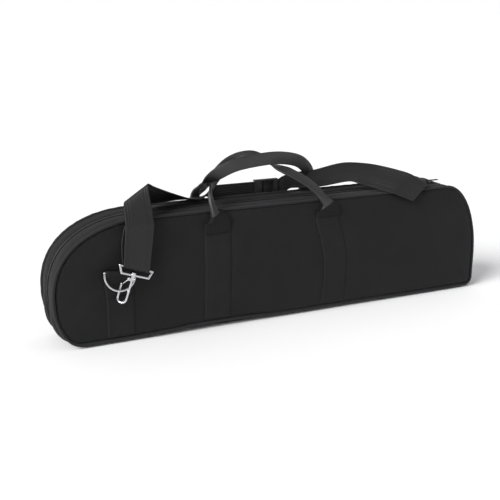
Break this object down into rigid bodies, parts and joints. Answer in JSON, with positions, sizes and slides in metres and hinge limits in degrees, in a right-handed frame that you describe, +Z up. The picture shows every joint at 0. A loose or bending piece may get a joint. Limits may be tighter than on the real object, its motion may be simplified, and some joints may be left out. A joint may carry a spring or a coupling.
{
  "type": "telescope carry case",
  "caption": "Long padded fabric case with one rounded narrow end, a lid half that zips open, folding webbing handles and a shoulder strap on swivel snap hooks.",
  "frame": {"origin": "middle of the base, on the surface the case stands on", "axes": "+X along the case towards its square end, -Y towards the lid half, +Z up"},
  "size_m": [0.846, 0.1326, 0.3008],
  "materials": {
    "cloth": "woven nylon, slightly sheened",
    "foam": "closed-cell padding",
    "lining": "brushed knit",
    "zip_tape": "fine twill tape",
    "zip_coil": "nylon coil",
    "webbing": "ribbed nylon webbing",
    "slider_plastic": "moulded acetal",
    "chrome": "bright nickel plate",
    "steel": "plated spring steel",
    "zip_metal": "black enamel"
  },
  "bodies": {
    "case": {"back_panel": "cloth", "back_foam": "foam", "back_lining": "lining", "back_gusset": "cloth", "back_gusset_foam": "foam", "back_gusset_lining": "lining", "back_piping": "cloth", "back_zip_tape": "zip_tape", "back_zip_coil": "zip_coil", "back_bands": "webbing", "back_handle_ends": "webbing", "back_anchor": "webbing", "bottom_gusset": "cloth", "bottom_foam": "foam", "bottom_lining": "lining", "back_strap_drop": "webbing", "strap_rise": "webbing", "strap_run": "webbing", "strap_arch": "webbing", "strap_turn": "webbing", "zip_end_stops": "zip_metal"},
    "lid": {"front_panel": "cloth", "front_foam": "foam", "front_lining": "lining", "front_gusset": "cloth", "front_gusset_foam": "foam", "front_gusset_lining": "lining", "front_piping": "cloth", "front_zip_tape": "zip_tape", "front_zip_coil": "zip_coil", "front_bands": "webbing", "front_handle_ends": "webbing", "front_anchor": "webbing", "front_strap_drop": "webbing"},
    "front_handle": {"front_handle": "webbing"},
    "back_handle": {"back_handle": "webbing"},
    "zip_slider": {"zip_slider": "zip_metal"},
    "zip_pull": {"zip_pull": "zip_metal"},
    "strap_slider": {"strap_slider": "slider_plastic"},
    "front_d_ring": {"front_d_ring": "chrome"},
    "front_swivel_eye": {"front_swivel_eye": "chrome"},
    "front_snap_hook": {"front_snap_hook": "chrome", "front_gate_pin": "steel"},
    "front_hook_gate": {"front_hook_gate": "steel"},
    "back_d_ring": {"back_d_ring": "chrome"},
    "back_swivel_eye": {"back_swivel_eye": "chrome"},
    "back_snap_hook": {"back_snap_hook": "chrome", "back_gate_pin": "steel"},
    "back_hook_gate": {"back_hook_gate": "steel"}
  },
  "joints": [
    {"name": "lid_fold", "type": "hinge", "parent": "case", "child": "lid", "pos_m": [0, -0.0435, 0.0056], "axis": [1, 0, 0], "range_deg": [0, 75], "deforming": ["strap_rise", "strap_arch", "strap_turn"]},
    {"name": "front_handle_fold", "type": "hinge", "parent": "lid", "child": "front_handle", "pos_m": [-0.0295, -0.0517, 0.204], "axis": [1, 0, 0], "range_deg": [0, 140]},
    {"name": "back_handle_fold", "type": "hinge", "parent": "case", "child": "back_handle", "pos_m": [-0.0295, 0.0517, 0.204], "axis": [-1, 0, 0], "range_deg": [0, 140]},
    {"name": "zip_slide", "type": "slide", "parent": "case", "child": "zip_slider", "axis": [1, 0, 0], "range_m": [-0.57, 0]},
    {"name": "zip_pull_lift", "type": "hinge", "parent": "zip_slider", "child": "zip_pull", "pos_m": [0.332, 0, 0.217], "axis": [0, -1, 0], "range_deg": [0, 150]},
    {"name": "strap_slider_slide", "type": "slide", "parent": "case", "child": "strap_slider", "axis": [1, 0, 0], "range_m": [-0.07, 0]},
    {"name": "front_swivel_swing", "type": "hinge", "parent": "lid", "child": "front_swivel_eye", "pos_m": [-0.28539, -0.05919, 0.13148], "axis": [-0.9455, 0, 0.3256], "range_deg": [0, 12]},
    {"name": "front_d_ring_swing", "type": "hinge", "parent": "lid", "child": "front_d_ring", "pos_m": [-0.311, -0.0503, 0.124], "axis": [-0.9903, 0, 0.1392], "range_deg": [0, 16]},
    {"name": "front_hook_turn", "type": "hinge", "parent": "front_swivel_eye", "child": "front_snap_hook", "pos_m": [-0.292, -0.0623, 0.1215], "axis": [0.3256, 0, 0.9455], "range_deg": [-5, 5]},
    {"name": "front_gate_open", "type": "hinge", "parent": "front_snap_hook", "child": "front_hook_gate", "pos_m": [-0.29844, -0.05841, 0.11473], "axis": [-0.6686, -0.7071, 0.2302], "range_deg": [0, 25], "stiffness_Nm_per_rad": 0.02, "springref_deg": -17.19},
    {"name": "back_swivel_swing", "type": "hinge", "parent": "case", "child": "back_swivel_eye", "pos_m": [0.28539, 0.05919, 0.13148], "axis": [0.9455, 0, 0.3256], "range_deg": [0, 12]},
    {"name": "back_d_ring_swing", "type": "hinge", "parent": "case", "child": "back_d_ring", "pos_m": [0.311, 0.0503, 0.124], "axis": [0.9903, 0, 0.1392], "range_deg": [0, 16]},
    {"name": "back_hook_turn", "type": "hinge", "parent": "back_swivel_eye", "child": "back_snap_hook", "pos_m": [0.292, 0.0623, 0.1215], "axis": [-0.3256, 0, 0.9455], "range_deg": [-5, 5]},
    {"name": "back_gate_open", "type": "hinge", "parent": "back_snap_hook", "child": "back_hook_gate", "pos_m": [0.29844, 0.05841, 0.11473], "axis": [0.6686, 0.7071, 0.2302], "range_deg": [0, 25], "stiffness_Nm_per_rad": 0.02, "springref_deg": -17.19}
  ],
  "couplings": [
    {"joint": "front_d_ring_swing", "follows": "front_swivel_swing", "ratio": 1.33},
    {"joint": "back_d_ring_swing", "follows": "back_swivel_swing", "ratio": 1.33}
  ]
}
